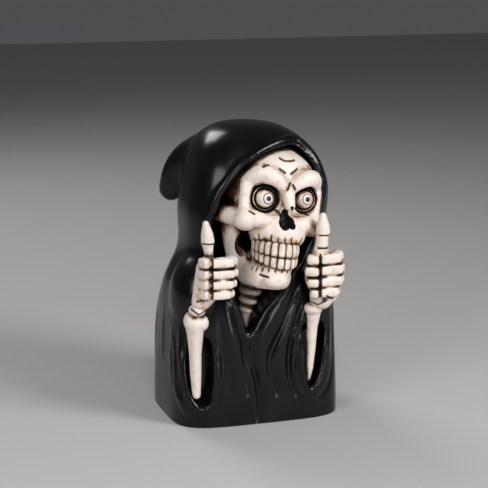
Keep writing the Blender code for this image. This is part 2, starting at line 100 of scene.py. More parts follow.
# raised folds: radius, then x and z down each one
robe_folds = (
    (3.9, (
        (16.0, 61.0), (11.0, 54.0), (5.6, 47.4), (1.4, 41.4), (-1.4, 35.0), (-2.0, 28.0), (-1.4, 20.0),
        (0.4, 11.0),
    )),
    (3.5, ((15.0, 51.6), (11.6, 45.4), (8.8, 39.0), (6.8, 32.6), (5.9, 26.0), (6.2, 19.0), (8.4, 12.0))),
    (2.7, ((15.8, 42.6), (13.6, 36.0), (12.2, 29.0), (11.9, 22.0), (13.0, 15.0), (15.4, 9.6))),
    (4.4, ((-17.0, 55.0), (-15.4, 45.0), (-13.4, 35.0), (-12.4, 24.0), (-12.6, 12.0))),
)
# narrow valleys between the folds: depth, then x and z down each one
robe_creases = (
    (1.7, ((-5.6, 34.0), (-6.0, 29.0), (-5.6, 24.6), (-4.1, 20.0), (-3.0, 13.9), (-2.4, 6.2), (-3.6, 1.0))),
    (1.7, (
        (14.4, 55.6), (11.6, 49.0), (8.6, 42.6), (6.0, 37.2), (3.8, 32.8), (2.4, 29.0), (1.8, 25.0),
        (2.3, 19.0), (4.6, 12.0),
    )),
    (1.6, ((15.4, 47.6), (13.4, 41.4), (11.5, 35.4), (10.4, 29.6), (10.0, 23.0), (10.7, 16.6), (13.0, 11.4))),
    (1.3, ((15.4, 39.6), (14.2, 32.9), (13.7, 26.0), (14.0, 19.0), (16.4, 12.4))),
    (1.1, ((-12.8, 50.0), (-10.6, 41.0), (-9.0, 32.0), (-8.0, 22.0), (-7.6, 13.0))),
    (1.0, ((-18.6, 44.0), (-17.8, 32.0), (-17.6, 19.0), (-19.4, 9.0), (-24.0, 3.6), (-30.0, 4.2))),
    (0.9, ((22.0, 7.4), (27.4, 11.0), (30.6, 20.0), (31.6, 32.0), (31.2, 44.0))),
)
left_lip = (
    (-31.9, 41.0), (-32.5, 33.0), (-32.4, 24.0), (-31.4, 15.0), (-29.2, 9.2), (-25.8, 7.0), (-22.4, 9.2),
    (-20.4, 16.0), (-20.0, 24.0), (-20.4, 31.0), (-22.2, 38.6),
)
right_lip = (
    (15.8, 41.0), (15.2, 34.0), (15.0, 26.0), (15.8, 18.0), (17.6, 12.6), (19.8, 11.4), (22.6, 13.2),
    (25.4, 19.0), (27.0, 27.0), (27.8, 35.0), (27.6, 42.0),
)


def through(points, steps=4):
    """A smooth run of points through the given ones."""
    points = [np.array(point, float) for point in points]
    found = []
    for i in range(len(points) - 1):
        a, b, c, d = points[max(i - 1, 0)], points[i], points[i + 1], points[min(i + 2, len(points) - 1)]
        for k in range(steps):
            t = k / steps
            bend = (2 * a - 5 * b + 4 * c - d) * t * t
            found.append(0.5 * (2 * b + (c - a) * t + bend + (3 * b - a - 3 * c + d) * t**3))
    return found + [points[-1]]


robe_rows = np.array(through(robe_sections, 4))


def robe_front(x, z):
    """y of the robe's front there."""
    cx, cy, a, b, power = [np.interp(z, robe_rows[:, 0], robe_rows[:, k]) for k in (1, 2, 3, 6, 7)]
    share = min(abs((x - cx) / a), 0.985)
    return cy - b * (1 - share**power) ** (1 / power)


def hoop(bm, count, place):
    """A ring of edges whose points are put by place(angle)."""
    verts = bmesh.ops.create_circle(bm, cap_ends=False, segments=count, radius=1.0)["verts"]
    for i, vert in enumerate(verts):
        vert.co = place(2 * math.pi * i / count)
    return list({edge for vert in verts for edge in vert.link_edges})


def loft(bm, hoops):
    """Skins a run of rings and closes both ends."""
    for low, high in zip(hoops, hoops[1:]):
        bmesh.ops.bridge_loops(bm, edges=low + high)
    for end in (hoops[0], hoops[-1]):
        bmesh.ops.contextual_create(bm, geom=end)


def boxy(a, b, power, angle):
    c, s = math.cos(angle), math.sin(angle)
    return a * math.copysign(abs(c) ** (2 / power), c), b * math.copysign(abs(s) ** (2 / power), s)


def edges_among(verts):
    around = {edge for vert in verts for edge in vert.link_edges}
    return [edge for edge in around if edge.verts[0] in verts and edge.verts[1] in verts]


def sweep(bm, points, radii, sides=14, flat=1.0, flat_axis=(0, 1, 0)):
    """A round-ended rod along the points: one circle, extruded and carried from point to point."""
    points = [Vector(point) for point in points]
    if isinstance(radii, (int, float)):
        radii = [radii] * len(points)
    count = len(points)
    squeeze = Vector(flat_axis).normalized()
    along = [(points[min(i + 1, count - 1)] - points[max(i - 1, 0)]).normalized() for i in range(count)]
    round_end = ((0.38, 0.92), (0.71, 0.71), (0.95, 0.31))  # how far past the end, and how wide there
    stops = [(points[0] - along[0] * radii[0] * s, along[0], radii[0] * w) for s, w in round_end[::-1]]
    stops += [(points[i], along[i], radii[i]) for i in range(count)]
    stops += [(points[-1] + along[-1] * radii[-1] * s, along[-1], radii[-1] * w) for s, w in round_end]
    first = squeeze - along[0] * squeeze.dot(along[0])
    if first.length < 0.1:
        first = along[0].orthogonal()
    verts = bmesh.ops.create_circle(bm, cap_ends=True, segments=sides, radius=1.0)["verts"]
    before = Matrix.Identity(4)
    for k, (spot, ahead, radius) in enumerate(stops):
        first = (first - ahead * first.dot(ahead)).normalized()
        second = ahead.cross(first)
        frame_now = Matrix.Translation(spot) @ Matrix((first, second, ahead)).transposed().to_4x4()
        now = frame_now @ Matrix.Diagonal((radius * flat, radius, radius, 1.0))
        if k:
            made = bmesh.ops.extrude_edge_only(bm, edges=edges_among(verts))["geom"]
            verts = [item for item in made if isinstance(item, bmesh.types.BMVert)]
        bmesh.ops.transform(bm, matrix=now @ before.inverted(), verts=verts)
        before = now
    bmesh.ops.contextual_create(bm, geom=edges_among(verts))


def blob(bm, centre, radii, turn=(0, 0, 0), fine=4):
    """An ellipsoid, turned by degrees."""
    if isinstance(radii, (int, float)):
        radii = (radii, radii, radii)
    turned = Euler([math.radians(angle) for angle in turn]).to_matrix().to_4x4()
    place = Matrix.Translation(centre) @ turned @ Matrix.Diagonal((*radii, 1.0))
    bmesh.ops.create_icosphere(bm, subdivisions=fine, radius=1.0, matrix=place)


def as_object(bm, name):
    bmesh.ops.recalc_face_normals(bm, faces=bm.faces[:])
    mesh = bpy.data.meshes.new(name)
    bm.to_mesh(mesh)
    bm.free()
    obj = bpy.data.objects.new(name, mesh)
    scene.collection.objects.link(obj)
    return obj


def settle(obj):
    """Makes what the modifiers give the object's own mesh."""
    mesh = bpy.data.meshes.new_from_object(obj.evaluated_get(bpy.context.evaluated_depsgraph_get()))
    obj.modifiers.clear()
    obj.data = mesh


def fuse(obj, voxel):
    """Melts overlapping shapes into one skin."""
    modifier = obj.modifiers.new("fuse", "REMESH")
    modifier.mode = "VOXEL"
    modifier.voxel_size = voxel
    settle(obj)


def carve_out(obj, tool):
    modifier = obj.modifiers.new("carve", "BOOLEAN")
    modifier.operation = "DIFFERENCE"
    modifier.solver = "EXACT"
    modifier.object = tool
    settle(obj)
    bpy.data.objects.remove(tool, do_unlink=True)


def add_shapes(obj, bm):
    """Adds loose shapes to the object's mesh."""
    bmesh.ops.recalc_face_normals(bm, faces=bm.faces[:])
    bm.from_mesh(obj.data)
    bm.to_mesh(obj.data)
    bm.free()


def relax(obj, times, factor=0.5):
    bm = bmesh.new()
    bm.from_mesh(obj.data)
    for _ in range(times):
        bmesh.ops.smooth_vert(
            bm, verts=bm.verts[:], factor=factor, use_axis_x=True, use_axis_y=True, use_axis_z=True
        )
    bm.to_mesh(obj.data)
    bm.free()


def soothe(obj, share, times):
    """Evens the skin out where share is near 1, by drawing each point to the middle of its neighbours."""
    spots = points_of(obj)
    ends = np.empty(len(obj.data.edges) * 2, np.int32)
    obj.data.edges.foreach_get("vertices", ends)
    a, b = ends[::2], ends[1::2]
    count = np.bincount(np.concatenate([a, b]), minlength=len(spots)).astype(float)
    for _ in range(times):
        for axis in range(3):
            column = spots[:, axis]
            middle = (np.bincount(a, column[b], len(spots)) + np.bincount(b, column[a], len(spots))) / count
            spots[:, axis] += (middle - column) * share * 0.6
    put_points(obj, spots)


def points_of(obj):
    spots = np.empty(len(obj.data.vertices) * 3, np.float32)
    obj.data.vertices.foreach_get("co", spots)
    return spots.reshape(-1, 3).astype(float)


def normals_of(obj):
    found = np.empty(len(obj.data.vertices) * 3, np.float32)
    obj.data.vertices.foreach_get("normal", found)
    return found.reshape(-1, 3).astype(float)


def put_points(obj, spots):
    obj.data.vertices.foreach_set("co", spots.astype(np.float32).ravel())
    obj.data.update()


def off_line(u, v, line):
    """Distance of each u, v from a run of points, and how far along the run its nearest spot is, 0 to 1."""
    line = np.array(line, float)
    best = np.full(len(u), 1e9)
    where = np.zeros(len(u))
    for i in range(len(line) - 1):
        a, d = line[i], line[i + 1] - line[i]
        t = np.clip(((u - a[0]) * d[0] + (v - a[1]) * d[1]) / max(d @ d, 1e-9), 0, 1)
        gap = np.hypot(u - a[0] - t * d[0], v - a[1] - t * d[1])
        near = gap < best
        best[near] = gap[near]
        where[near] = (i + t[near]) / (len(line) - 1)
    return best, where


def robe_spot(angle, row):
    z, cx, cy, a, b, power, b_front, power_front = row
    x, y = boxy(a, b_front, power_front, angle) if angle > math.pi else boxy(a, b, power, angle)
    return cx + x, cy + y, z


robe_bm = bmesh.new()
loft(robe_bm, [hoop(robe_bm, 96, lambda angle, row=row: robe_spot(angle, row)) for row in robe_rows])
robe = as_object(robe_bm, "robe_and_hood")


def hollow(obj, line, middle, walls, name):
    """Cuts the hollow behind an x, z outline, which is drawn towards its middle at each y of the walls."""
    bm = bmesh.new()
    hoops = []
    for y, share in walls:
        def spot(angle, y=y, share=share):
            x, z = line[round(angle * len(line) / 2 / math.pi) % len(line)]
            return middle[0] + (x - middle[0]) * share, y, middle[1] + (z - middle[1]) * share
        hoops.append(hoop(bm, len(line), spot))
    loft(bm, hoops)
    carve_out(obj, as_object(bm, name))


edge_line = through(hood_opening + hood_opening[:1], 3)[:-1]
hood_walls = ((-48.0, 1.02), (rim_y, 1.0), (-17.0, 0.98), (-9.0, 0.9), (-1.0, 0.74), (5.0, 0.5))
hollow(robe, edge_line, opening_middle, hood_walls, "opening_tool")
for lip in (left_lip, right_lip):
    lip_line = through(lip + lip[:1], 2)[:-1]
    sleeve_walls = ((-40.0, 0.92), (-27.0, 0.92), (-24.0, 0.86), (-19.5, 0.66))
    hollow(robe, lip_line, sum(lip_line) / len(lip_line), sleeve_walls, "sleeve_tool")


def outset(points, out):
    """The edge of the opening, moved away from its middle."""
    line = through(points, 4)
    moved = []
    for i, p in enumerate(line):
        along = line[min(i + 1, len(line) - 1)] - line[max(i - 1, 0)]
        side = np.array((along[1], -along[0])) / max(np.hypot(*along), 1e-9)
        side *= 1 if side @ (p - np.array((opening_middle[0], lapel_middle_z))) > 0 else -1
        moved.append(p + side * out)
    return moved


fold_bm = bmesh.new()
rim_line = outset(hood_opening[3:24], rim_radius * 0.9)
rim_path = [(x, max(robe_front(x, z), rim_y) + 0.6, z) for x, z in rim_line]
sweep(fold_bm, rim_path, rim_radius)
for lapel in (hood_opening[:6], hood_opening[21:] + hood_opening[:1]):
    sweep(fold_bm, [(x, robe_front(x, z) + 1.0, z) for x, z in outset(lapel, rim_radius * 0.9)], rim_radius)
for broad, fold in robe_folds:
    line = through(fold, 4)
    last = len(line) - 1
    radii = [broad * (0.7 + 0.34 * math.sin(math.pi * i / last)) for i in range(last + 1)]
    sweep(fold_bm, [(x, robe_front(x, z) + broad * 0.68, z) for x, z in line], radii, 18)
for lip in (left_lip, right_lip):
    mid = sum(np.array(point) for point in lip) / len(lip)
    outer = [mid + (np.array(point) - mid) * (1.42, 1.2) for point in lip[1:-1]]
    outer = [(min(max(x, -33.6), 32.6), z) for x, z in outer]
    for edge, thick, sunk in ((lip, 1.9, 0.4), (outer, 2.2, 1.4)):
        line = through(edge, 4)
        full = [min(1, 6 * i / (len(line) - 1), 6 - 6 * i / (len(line) - 1)) for i in range(len(line))]
        path = [(x, robe_front(x, z) + sunk + 2.0 * (1 - share), z) for (x, z), share in zip(line, full)]
        sweep(fold_bm, path, [thick * (0.5 + 0.5 * share) for share in full])
blob(fold_bm, (-24.8, -11.4, 53.0), (10.0, 14.2, 16.0), (0, 8, 0))
blob(fold_bm, (24.4, -11.4, 53.0), (10.4, 14.2, 16.0), (0, -8, 0))
for x, y, low, high, radius in (
    (-35.0, -13.0, 6, 50, 3.0), (-35.4, 2.0, 10, 56, 3.4), (-33.0, 17.0, 4, 60, 3.4),
    (35.4, -12.0, 4, 50, 3.0), (35.6, 3.0, 8, 56, 3.4), (33.0, 18.0, 5, 58, 3.2),
    (-20.0, 26.6, 4, 66, 3.4), (-4.0, 28.0, 8, 74, 3.0), (12.0, 27.8, 4, 70, 3.4), (24.0, 25.6, 6, 58, 2.8),
):
    line = []
    for i in range(9):
        z = low + (high - low) * i / 8
        cx, cy, a, b, power = [np.interp(z, robe_rows[:, 0], robe_rows[:, k]) for k in range(1, 6)]
        angle = math.atan2(y / half_depth, x / half_width) + 0.05 * math.sin(3.0 * i / 8 + x)
        reach = (abs(math.cos(angle)) ** power + abs(math.sin(angle)) ** power) ** (-1 / power)
        sunk = radius * (0.46 if y > 20 else 0.8)
        line.append((cx + (a * reach - sunk) * math.cos(angle), cy + (b * reach - sunk) * math.sin(angle), z))
    sweep(fold_bm, line, [radius * (0.55 + 0.45 * math.sin(math.pi * i / 8)) for i in range(9)])
point_line = through([(-3.0, 5.0, 103.0), (-12.0, 13.0, 102.6), (-19.6, 20.6, 98.2), (-24.2, 26.4, 88.6)], 4)
point_radii = [15.6 - 9.4 * i / (len(point_line) - 1) for i in range(len(point_line))]
sweep(fold_bm, point_line, point_radii, 20, 0.66, (0.6, 0.78, 0.15))
add_shapes(robe, fold_bm)
fuse(robe, robe_voxel)
relax(robe, 4)
spots = points_of(robe)
# how far each spot is evened out: the shoulders and the upper back most, the lower front only a little
calm = np.exp(
    -(((np.abs(spots[:, 0]) - 26) / 13) ** 2)
    - ((spots[:, 1] + 16) / 14) ** 2
    - ((spots[:, 2] - 58) / 15) ** 2
)
calm = np.maximum(calm * 1.4, np.clip((spots[:, 1] - 4) / 10, 0, 1) * np.clip((spots[:, 2] - 60) / 20, 0, 1))
calm[(np.abs(spots[:, 0] - 2) < 21) & (spots[:, 1] < 4)] = 0
calm = np.maximum(calm, 0.12 * (spots[:, 2] < 60) * (spots[:, 1] < -14))
soothe(robe, np.clip(calm, 0, 1), 60)
spots, outs = points_of(robe), normals_of(robe)
front = np.clip((-spots[:, 1] - 14) / 6, 0, 1) * np.clip(-outs[:, 1] * 2, 0, 1)
push = np.zeros(len(spots))
for deep, crease in robe_creases:
    gap, where = off_line(spots[:, 0], spots[:, 2], through(crease, 3))
    push -= front * deep * np.exp(-((gap / 0.95) ** 2)) * np.sin(np.pi * np.clip(where, 0.02, 0.98)) ** 0.4
spots += outs * push[:, None]
put_points(robe, spots)
relax(robe, 2)
spots = points_of(robe)
spots[:, 0] *= np.where(spots[:, 0] < 0, 0.9955, 1.0)
put_points(robe, spots)


def shader_of(name):
    material = bpy.data.materials.new(name)
    material.use_nodes = True
    nodes = material.node_tree.nodes
    return material, nodes, material.node_tree.links, nodes["Principled BSDF"]


def ramp(nodes, links, source, stops):
    node = nodes.new("ShaderNodeValToRGB")
    while len(node.color_ramp.elements) < len(stops):
        node.color_ramp.elements.new(0.5)
    for element, (place, colour) in zip(node.color_ramp.elements, stops):
        element.position = place
        element.color = (*colour, 1.0)
    links.new(source, node.inputs["Fac"])
    return node


def noise(nodes, links, coords, scale, detail=4.0, rough=0.55):
    node = nodes.new("ShaderNodeTexNoise")
    node.inputs["Scale"].default_value = scale
    node.inputs["Detail"].default_value = detail
    node.inputs["Roughness"].default_value = rough
    links.new(coords.outputs["Object"], node.inputs["Vector"])
    return node


def black_gloss():
    material, nodes, links, shader = shader_of("black_gloss_paint")
    coords = nodes.new("ShaderNodeTexCoord")
    cloud = noise(nodes, links, coords, 60.0)
    blacks = [(0.35, (0.002, 0.002, 0.003)), (0.7, (0.005, 0.0045, 0.006))]
    tint = ramp(nodes, links, cloud.outputs["Fac"], blacks)
    shader.inputs["Specular IOR Level"].default_value = 0.3
    links.new(tint.outputs["Color"], shader.inputs["Base Color"])
    gloss = nodes.new("ShaderNodeMapRange")
    links.new(cloud.outputs["Fac"], gloss.inputs["Value"])
    gloss.inputs["To Min"].default_value = 0.16
    gloss.inputs["To Max"].default_value = 0.28
    links.new(gloss.outputs["Result"], shader.inputs["Roughness"])
    ripple = noise(nodes, links, coords, 260.0, 2.0)
    bump = nodes.new("ShaderNodeBump")
    bump.inputs["Strength"].default_value = 0.1
    bump.inputs["Distance"].default_value = 0.0003
    links.new(ripple.outputs["Fac"], bump.inputs["Height"])
    links.new(bump.outputs["Normal"], shader.inputs["Normal"])
    return material


def finish_piece(obj, paint):
    """Paints a piece and ties it to the casting that it stands for."""
    obj.data.materials.clear()
    obj.data.materials.append(paint)
    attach(obj, "root")
    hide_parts("grim_reaper_figurine")


finish_piece(robe, black_gloss())

# Skull: part of the same casting, ivory paint dry-brushed over a dark wash that stays in its hollows, and
# painted shade is laid in those hollows too. It is shaped in its own frame, then nodded, tilted and turned
# into the hood.
skull_place = (6.8, -9.0, 88.3)
skull_nod, skull_tilt, skull_turn = (math.radians(angle) for angle in (-9.9, 9.2, 4.1))
skull_frame = (
    Matrix.Translation(skull_place) @ Matrix.Rotation(skull_turn, 4, "Z")
    @ Matrix.Rotation(skull_nod, 4, "X") @ Matrix.Rotation(skull_tilt, 4, "Y")
)
eye_spots = ((-8.1, -0.3), (8.6, 0.9))
jaw_skew = -2.3
arch_x = -0.8  # middle of the round arch that the teeth stand on
arch_y = -13.0
skull_voxel = 0.42
skull_fine_voxel = 0.36
socket_radius = 5.8
skull_bm = bmesh.new()
blob(skull_bm, (0, 2.0, 8.0), (19.2, 20.4, 16.6))
blob(skull_bm, (0, -8.0, 8.6), (16.0, 12.8, 12.0))
blob(skull_bm, (0, -7.4, -1.0), (17.0, 12.2, 12.4))
blob(skull_bm, (0, -13.6, -13.0), (11.6, 11.0, 8.4))
sweep(skull_bm, [(0, -17.4, 8.5), (0.2, -20.4, 3.0), (0.5, -23.2, -2.8)], [3.4, 2.9, 2.2])
for side in (1, -1):
    blob(skull_bm, (side * 13.6, -14.6, -8.8), (6.0, 5.0, 4.8), (0, side * 16, 0))
    cheek_line = [(side * 11.0, -16.8, -8.8), (side * 6.5, -18.2, -9.8), (side * 6.4, -17.4, -14.0)]
    sweep(skull_bm, cheek_line, [3.8, 3.8, 3.2])
    out = 0.7 if side < 0 else -0.6
    cheek_arch = [
        (side * 14.6, -14.0, -8.8), (side * (18.0 + out), -8.0, -7.8),
        (side * (20.0 + out), 0.0, -7.0), (side * (20.4 + out), 5.0, -6.4),
    ]
    sweep(skull_bm, cheek_arch, [4.4, 3.9, 3.2, 3.2])
    orbit_edge = [
        (side * (14.8 + out), -15.4, 4.0), (side * (15.2 + out), -15.2, -0.6),
        (side * (14.6 + out), -15.2, -6.0),
    ]
    sweep(skull_bm, orbit_edge, [2.8, 2.3, 2.8])
    brow = through([
        (side * 2.0, -20.2, 4.6), (side * 6.0, -20.4, 7.8), (side * 11.0, -18.4, 9.2),
        (side * (14.4 + out), -14.8, 6.0),
    ], 3)
    sweep(skull_bm, brow, [2.4, 2.8, 3.2, 3.5, 3.7, 3.8, 3.8, 3.6, 3.3, 2.8], 18)
    jaw_line = [
        (side * 5.4 + jaw_skew, -16.5, -31.0), (side * 8.4 + jaw_skew * 0.8, -8.0, -29.6),
        (side * 12.4, -3.4, -24.6), (side * 14.6, -2.6, -17.0), (side * 16.8, 0.0, -7.0),
    ]
    sweep(skull_bm, jaw_line, [4.6, 4.8, 5.0, 4.8, 4.0], 16, 0.66, (1, 0, 0))
# the two jaws' front: height, half-sizes, how far back, and share of the jaw's skew
jaw_rows = (
    (-14.0, 9.4, 10.6, 0.0, 0.2), (-18.0, 8.2, 11.6, 0.0, 0.3), (-22.3, 8.0, 11.5, 0.0, 0.4),
    (-27.4, 7.6, 11.4, 0.0, 0.5), (-30.0, 7.0, 10.9, 0.0, 0.8), (-33.6, 6.0, 9.6, -0.6, 1.0),
    (-35.8, 4.2, 6.6, -1.6, 1.0),
)


def jaw_spot(angle, row):
    z, a, b, back, skew = row
    x, y = boxy(a, b, 2.2, angle)
    return skew * jaw_skew + x, arch_y + back + y, z


loft(skull_bm, [hoop(skull_bm, 32, lambda angle, row=row: jaw_spot(angle, row)) for row in jaw_rows])
blob(skull_bm, (jaw_skew, -21.2, -32.0), (5.4, 3.6, 3.6))
skull = as_object(skull_bm, "skull")
fuse(skull, skull_voxel)
relax(skull, 10)
tool_bm = bmesh.new()
for side, (x, z) in zip((-1, 1), eye_spots):
    blob(tool_bm, (x, -18.4, z), (6.0, 6.8, 5.8), (0, side * 12, 0))
    blob(tool_bm, (side * 21.0, -9.5, 1.0), (4.8, 7.0, 6.0))
    blob(tool_bm, (side * 12.0, -9.4, -18.8), (3.0, 8.4, 5.2))
nose_spots = (
    (0.7, -3.6, 0.8), (0.3, -5.4, 1.4), (-0.6, -7.6, 2.0), (-1.2, -9.7, 2.2), (1.1, -6.8, 1.1),
    (1.8, -8.4, 1.6), (2.0, -10.0, 1.5),
)
for x, z, wide in nose_spots:
    blob(tool_bm, (x, -22.5, z), (wide, 6.5, wide * 1.1), (0, 0, 0), 3)
tool = as_object(tool_bm, "hollow_tool")
fuse(tool, skull_voxel)
carve_out(skull, tool)
fuse(skull, skull_fine_voxel)
relax(skull, 2)
# lines cut in the brow and the bone, x and z in the skull's frame
skull_lines = (
    ((-4.0, 11.7), (-1.7, 10.4)), ((0.9, 10.2), (3.7, 12.5)),
    ((-1.1, 3.7), (0.3, 6.6)), ((1.1, 5.9), (2.3, 4.1)),
    ((-3.3, 16.2), (-1.7, 15.3), (0.8, 15.4), (2.9, 16.0)), ((-11.5, 11.8), (-9.9, 12.7), (-8.2, 12.9)),
    ((-14.5, -5.8), (-12.8, -6.8)), ((-4.5, -4.1), (-2.2, -5.4)), ((9.3, -4.6), (10.8, -5.1)),
    ((9.9, 14.5), (13.2, 12.4)), ((-8.5, -30.3), (-6.3, -31.0)),
)
spots, outs = points_of(skull), normals_of(skull)
facing = (spots[:, 1] < -8) * np.clip(-outs[:, 1] * 3, 0, 1)
skull_ink = np.zeros(len(spots))
round_arch = np.arctan2(spots[:, 0] - arch_x, arch_y - spots[:, 1])
for k in range(-5, 6):
    gap = np.abs(round_arch - math.radians(14.6 * k)) * 11
    for low, high in ((-18.6, -14.6 + 0.8 * math.sin(2.7 * k)), (-29.4, -26.6)):
        length = np.clip((spots[:, 2] - low) * 1.2, 0, 1) * np.clip((high - spots[:, 2]) * 0.8, 0, 1)
        length = length * (spots[:, 1] < -14)
        skull_ink = np.maximum(skull_ink, 0.62 * length * np.exp(-((gap / 0.36) ** 2)))
for line in skull_lines:
    gap, where = off_line(spots[:, 0], spots[:, 2], line)
    skull_ink = np.maximum(skull_ink, facing * np.exp(-((gap / 0.32) ** 2)))
spots -= outs * (skull_ink * 0.45)[:, None]
for x, z, wide in nose_spots:
    inside = np.hypot((spots[:, 0] - x) / wide, (spots[:, 2] - z) / wide / 1.1)
    skull_ink[(inside < 1.04) & (spots[:, 1] < -12)] = 1
for x, z in eye_spots:
    inside = np.hypot((spots[:, 0] - x) / socket_radius, (spots[:, 2] - z) / socket_radius)
    deep = np.clip((spots[:, 1] + 19.8) / 1.4, 0, 1) * (spots[:, 1] < -6)
    skull_ink = np.maximum(skull_ink, np.clip((1.02 - inside) * 12, 0, 1) * deep)
put_points(skull, spots)
skull.data.transform(skull_frame)


def bone_paint(name, eye=False):
    material, nodes, links, shader = shader_of(name)
    coords = nodes.new("ShaderNodeTexCoord")
    wash_and_shade = nodes.new("ShaderNodeAttribute")
    wash_and_shade.attribute_name = "wash_and_shade"
    blotch = noise(nodes, links, coords, 420.0)
    spread = nodes.new("ShaderNodeMath")
    spread.operation = "MULTIPLY_ADD"
    links.new(blotch.outputs["Fac"], spread.inputs[0])
    spread.inputs[1].default_value = 0.32
    links.new(wash_and_shade.outputs["Fac"], spread.inputs[2])
    # the stored count and a little noise run the ivory through tan and brown to black: dark wash paint and
    # painted shade in the hollows
    tint = ramp(nodes, links, spread.outputs[0], [
        (0.16, (0.75, 0.66, 0.60)), (0.25, (0.62, 0.50, 0.42)), (0.34, (0.40, 0.25, 0.14)),
        (0.46, (0.10, 0.055, 0.035)), (0.58, (0.008, 0.007, 0.007)),
    ])
    colour = tint.outputs["Color"]
    if eye:
        gaze = nodes.new("ShaderNodeAttribute")
        gaze.attribute_name = "off_gaze"
        reach = nodes.new("ShaderNodeMath")
        reach.operation = "DIVIDE"
        links.new(gaze.outputs["Fac"], reach.inputs[0])
        reach.inputs[1].default_value = 4.0
        dark = (0.006, 0.005, 0.005)
        pale = (1.0, 1.0, 1.0)
        rings = ramp(nodes, links, reach.outputs[0], [
            (0.24, dark), (0.29, pale), (0.46, pale), (0.50, dark), (0.545, dark), (0.585, pale),
        ])
        both = nodes.new("ShaderNodeMix")
        both.data_type = "RGBA"
        both.blend_type = "MULTIPLY"
        both.inputs["Factor"].default_value = 1.0
        links.new(colour, both.inputs["A"])
        links.new(rings.outputs["Color"], both.inputs["B"])
        colour = both.outputs["Result"]
    links.new(colour, shader.inputs["Base Color"])
    gloss = nodes.new("ShaderNodeMapRange")
    links.new(blotch.outputs["Fac"], gloss.inputs["Value"])
    gloss.inputs["To Min"].default_value = 0.38
    gloss.inputs["To Max"].default_value = 0.56
    links.new(gloss.outputs["Result"], shader.inputs["Roughness"])
    grain = noise(nodes, links, coords, 900.0, 3.0)
    bump = nodes.new("ShaderNodeBump")
    bump.inputs["Strength"].default_value = 0.12
    bump.inputs["Distance"].default_value = 0.0002
    links.new(grain.outputs["Fac"], bump.inputs["Height"])
    links.new(bump.outputs["Normal"], shader.inputs["Normal"])
    return material


bone = bone_paint("ivory_over_dark_paint_and_shade")
finish_piece(skull, bone)

# Eyeballs: two round beads in the sockets, of one casting with the skull, each with a raised lid round it.
# They are painted cream, with a dark pupil inside a pale ring.
eye_radius = 3.9
lid_width = 4.8
lid_height = 4.6
eyes_bm = bmesh.new()
eye_frames = []
for x, z in eye_spots:
    eye_frames.append(skull_frame @ Matrix.Translation((x, -16.6, z)))
    place = eye_frames[-1] @ Matrix.Rotation(math.radians(90), 4, "X")
    bmesh.ops.create_uvsphere(eyes_bm, u_segments=64, v_segments=72, radius=eye_radius, matrix=place)
    lid = []
    for k in range(33):
        on_lid = Vector((lid_width * math.cos(0.2 * k), -0.3, lid_height * math.sin(0.2 * k)))
        lid.append(eye_frames[-1] @ on_lid)
    sweep(eyes_bm, lid, 0.38, 8)
eyes = as_object(eyes_bm, "eyeballs")
spots = points_of(eyes)
off_gaze = np.full(len(spots), 9.0)
for eye_frame in eye_frames:
    back = np.array(eye_frame.inverted())
    own = spots @ back[:3, :3].T + back[:3, 3]
    near = (np.linalg.norm(own, axis=1) < eye_radius + 0.1) & (own[:, 1] < 0)
    off_gaze[near] = np.hypot(own[near, 0] - 0.5, own[near, 2])
finish_piece(eyes, bone_paint("painted_eye", True))

# Teeth: two rows of resin teeth, carved round the arch of the jaws and cast with them. They take the ivory
# paint of the skull, and the dark wash and painted shade stay between them.
arch_half = 8.9
arch_deep = 12.5
tooth_pitch = 2.8


def on_arch(angle, z, grow):
    return (arch_half + grow) * math.sin(angle) + arch_x, arch_y - (arch_deep + grow) * math.cos(angle), z


arch_run = [0.0]
arch_steps = [math.radians(a) for a in range(-92, 93)]
for a, b in zip(arch_steps, arch_steps[1:]):
    arch_run.append(arch_run[-1] + math.dist(on_arch(a, 0, 0), on_arch(b, 0, 0)))
tooth_angles = []
for k in range(-6, 6):
    tooth_angles.append(float(np.interp(arch_run[92] + tooth_pitch * (k + 0.5), arch_run, arch_steps)))


def bead(bm, place, halves, drawn=0.62):
    """A rounded block: a cube, finely cut and drawn towards a ball."""
    made_so_far = len(bm.verts)
    verts = bmesh.ops.create_cube(bm, size=2.0)["verts"]
    edges = list({edge for vert in verts for edge in vert.link_edges})
    bmesh.ops.subdivide_edges(bm, edges=edges, cuts=4, use_grid_fill=True)
    verts = bm.verts[:][made_so_far:]
    for vert in verts:
        vert.co = vert.co.lerp(vert.co.normalized() * 1.25, drawn)
    bmesh.ops.transform(bm, matrix=place @ Matrix.Diagonal((*halves, 1.0)), verts=verts)


teeth_bm = bmesh.new()
for angle in tooth_angles:
    rise = 1 - math.cos(angle)
    for middle, tall, grow, wide in (
        (-20.5 + 2.2 * rise, 2.75 - 0.4 * rise, -0.7, 1.46),
        (-25.2 + 3.6 * rise, 2.35 - 0.6 * rise, -1.0, 1.4),
    ):
        place = Matrix.Translation(on_arch(angle, middle, grow)) @ Matrix.Rotation(angle, 4, "Z")
        bead(teeth_bm, skull_frame @ place, (wide, 1.3, tall), 0.7)
teeth = as_object(teeth_bm, "teeth")
finish_piece(teeth, bone)

# Neck: a stack of neck bones above the top of the breastbone, seen between the lapels. It is cast in resin
# with the robe and painted as the skull is.
neck_voxel = 0.4
neck_bm = bmesh.new()
sweep(neck_bm, [(0.6, -9.0, 62.0), (-0.8, -11.6, 54.0), (-1.6, -12.6, 43.0)], [5.4, 4.5, 3.8])
for k in range(5):
    blob(neck_bm, (-0.4 - 0.3 * k, -12.0 - 0.25 * k, 59.6 - 3.9 * k), (5.6 - 0.15 * k, 5.6, 1.85), (0, 8, 0))
sweep(neck_bm, [(-2.2, -14.6, 42.6), (-2.6, -16.6, 38.6), (-3.4, -18.4, 34.6)], [3.6, 2.9, 1.6])
neck = as_object(neck_bm, "neck_bones")
fuse(neck, neck_voxel)
relax(neck, 2)
finish_piece(neck, bone)

